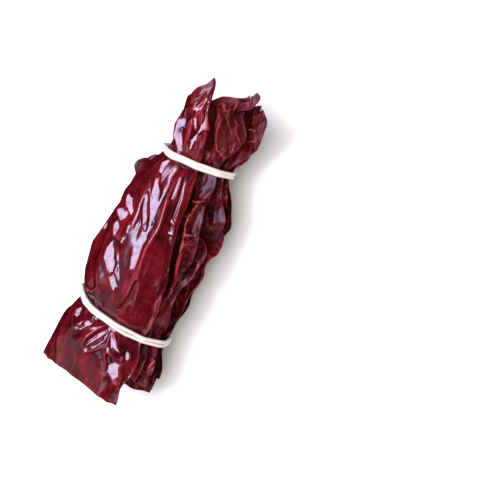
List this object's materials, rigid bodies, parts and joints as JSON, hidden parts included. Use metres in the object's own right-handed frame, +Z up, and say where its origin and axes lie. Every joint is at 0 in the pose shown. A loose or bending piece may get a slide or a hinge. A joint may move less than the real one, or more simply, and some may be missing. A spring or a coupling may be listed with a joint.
{
  "type": "bundle of dried red peppers",
  "caption": "Stack of flattened, hollow dried red peppers with cut mouths at one end and crumpled tips at the other, held together by doubled white rubber bands; it lies on its side.",
  "frame": {"origin": "bottom centre of the bundle's box, on the surface that it lies on", "axes": "+Y along the bundle from the cut mouths to the tips, +Z up through the stack to the glossy front pepper, +X to the side that shows the stack's edges"},
  "size_m": [0.06, 0.1608, 0.0391],
  "materials": {
    "glossy_pepper_skin": "glossy, wrinkled dried pepper skin",
    "dark_pepper_skin": "semi-gloss, crumpled dried pepper skin",
    "white_rubber": "matte"
  },
  "bodies": {
    "root": {"pepper_1_lowest": "dark_pepper_skin", "pepper_2": "dark_pepper_skin", "pepper_3": "dark_pepper_skin", "pepper_4": "dark_pepper_skin", "pepper_5": "dark_pepper_skin", "pepper_6_short": "dark_pepper_skin", "pepper_7": "dark_pepper_skin", "pepper_8_front": "glossy_pepper_skin", "lower_band": "white_rubber", "upper_band": "white_rubber"}
  },
  "joints": []
}
